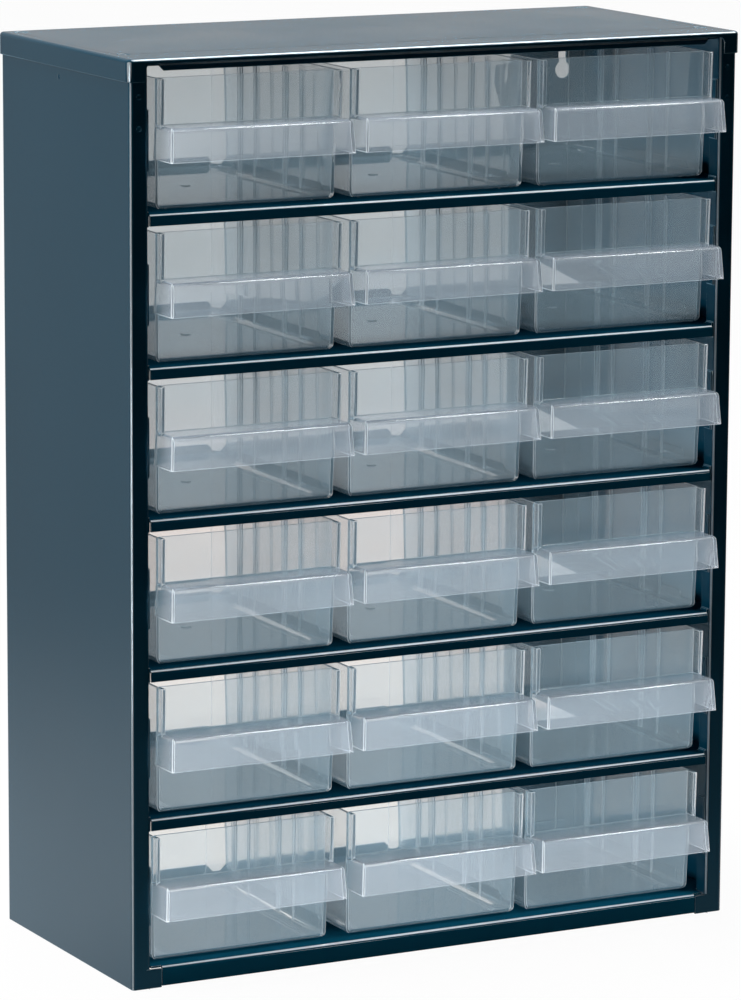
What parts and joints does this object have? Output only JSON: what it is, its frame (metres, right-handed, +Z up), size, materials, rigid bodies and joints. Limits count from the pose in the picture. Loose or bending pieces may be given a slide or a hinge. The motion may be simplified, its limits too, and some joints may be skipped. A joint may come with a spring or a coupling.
{
  "type": "parts bin cabinet",
  "caption": "Small free-standing sheet steel cabinet with rows of clear pull-out drawers for screws and other small parts; it also hangs on a wall by two keyholes.",
  "frame": {"origin": "on the table plane, at the middle of the width and of the whole depth from the drawer pulls to the back", "axes": "+X to the right of a person who faces the drawers, +Y from the drawers to the back, +Z up"},
  "size_m": [0.306, 0.149, 0.412],
  "materials": {
    "painted_steel": "smooth semi-gloss slate blue paint over folded sheet",
    "clear_plastic": "milky see-through moulded polypropylene"
  },
  "bodies": {
    "casing": {"top_cover": "painted_steel", "top_rail": "painted_steel", "left_side_panel": "painted_steel", "right_side_panel": "painted_steel", "bottom_tray": "painted_steel", "shelf_1": "painted_steel", "shelf_2": "painted_steel", "shelf_3": "painted_steel", "shelf_4": "painted_steel", "shelf_5": "painted_steel"},
    "drawer_r1c1": {"drawer_r1c1": "clear_plastic"},
    "drawer_r1c2": {"drawer_r1c2": "clear_plastic"},
    "drawer_r1c3": {"drawer_r1c3": "clear_plastic"},
    "drawer_r2c1": {"drawer_r2c1": "clear_plastic"},
    "drawer_r2c2": {"drawer_r2c2": "clear_plastic"},
    "drawer_r2c3": {"drawer_r2c3": "clear_plastic"},
    "drawer_r3c1": {"drawer_r3c1": "clear_plastic"},
    "drawer_r3c2": {"drawer_r3c2": "clear_plastic"},
    "drawer_r3c3": {"drawer_r3c3": "clear_plastic"},
    "drawer_r4c1": {"drawer_r4c1": "clear_plastic"},
    "drawer_r4c2": {"drawer_r4c2": "clear_plastic"},
    "drawer_r4c3": {"drawer_r4c3": "clear_plastic"},
    "drawer_r5c1": {"drawer_r5c1": "clear_plastic"},
    "drawer_r5c2": {"drawer_r5c2": "clear_plastic"},
    "drawer_r5c3": {"drawer_r5c3": "clear_plastic"},
    "drawer_r6c1": {"drawer_r6c1": "clear_plastic"},
    "drawer_r6c2": {"drawer_r6c2": "clear_plastic"},
    "drawer_r6c3": {"drawer_r6c3": "clear_plastic"}
  },
  "joints": [
    {"name": "slide_r1c1", "type": "slide", "parent": "casing", "child": "drawer_r1c1", "axis": [0, -1, 0], "range_m": [0, 0.127]},
    {"name": "slide_r1c2", "type": "slide", "parent": "casing", "child": "drawer_r1c2", "axis": [0, -1, 0], "range_m": [0, 0.127]},
    {"name": "slide_r1c3", "type": "slide", "parent": "casing", "child": "drawer_r1c3", "axis": [0, -1, 0], "range_m": [0, 0.127]},
    {"name": "slide_r2c1", "type": "slide", "parent": "casing", "child": "drawer_r2c1", "axis": [0, -1, 0], "range_m": [0, 0.127]},
    {"name": "slide_r2c2", "type": "slide", "parent": "casing", "child": "drawer_r2c2", "axis": [0, -1, 0], "range_m": [0, 0.127]},
    {"name": "slide_r2c3", "type": "slide", "parent": "casing", "child": "drawer_r2c3", "axis": [0, -1, 0], "range_m": [0, 0.127]},
    {"name": "slide_r3c1", "type": "slide", "parent": "casing", "child": "drawer_r3c1", "axis": [0, -1, 0], "range_m": [0, 0.127]},
    {"name": "slide_r3c2", "type": "slide", "parent": "casing", "child": "drawer_r3c2", "axis": [0, -1, 0], "range_m": [0, 0.127]},
    {"name": "slide_r3c3", "type": "slide", "parent": "casing", "child": "drawer_r3c3", "axis": [0, -1, 0], "range_m": [0, 0.127]},
    {"name": "slide_r4c1", "type": "slide", "parent": "casing", "child": "drawer_r4c1", "axis": [0, -1, 0], "range_m": [0, 0.127]},
    {"name": "slide_r4c2", "type": "slide", "parent": "casing", "child": "drawer_r4c2", "axis": [0, -1, 0], "range_m": [0, 0.127]},
    {"name": "slide_r4c3", "type": "slide", "parent": "casing", "child": "drawer_r4c3", "axis": [0, -1, 0], "range_m": [0, 0.127]},
    {"name": "slide_r5c1", "type": "slide", "parent": "casing", "child": "drawer_r5c1", "axis": [0, -1, 0], "range_m": [0, 0.127]},
    {"name": "slide_r5c2", "type": "slide", "parent": "casing", "child": "drawer_r5c2", "axis": [0, -1, 0], "range_m": [0, 0.127]},
    {"name": "slide_r5c3", "type": "slide", "parent": "casing", "child": "drawer_r5c3", "axis": [0, -1, 0], "range_m": [0, 0.127]},
    {"name": "slide_r6c1", "type": "slide", "parent": "casing", "child": "drawer_r6c1", "axis": [0, -1, 0], "range_m": [0, 0.127]},
    {"name": "slide_r6c2", "type": "slide", "parent": "casing", "child": "drawer_r6c2", "axis": [0, -1, 0], "range_m": [0, 0.127]},
    {"name": "slide_r6c3", "type": "slide", "parent": "casing", "child": "drawer_r6c3", "axis": [0, -1, 0], "range_m": [0, 0.127]}
  ]
}
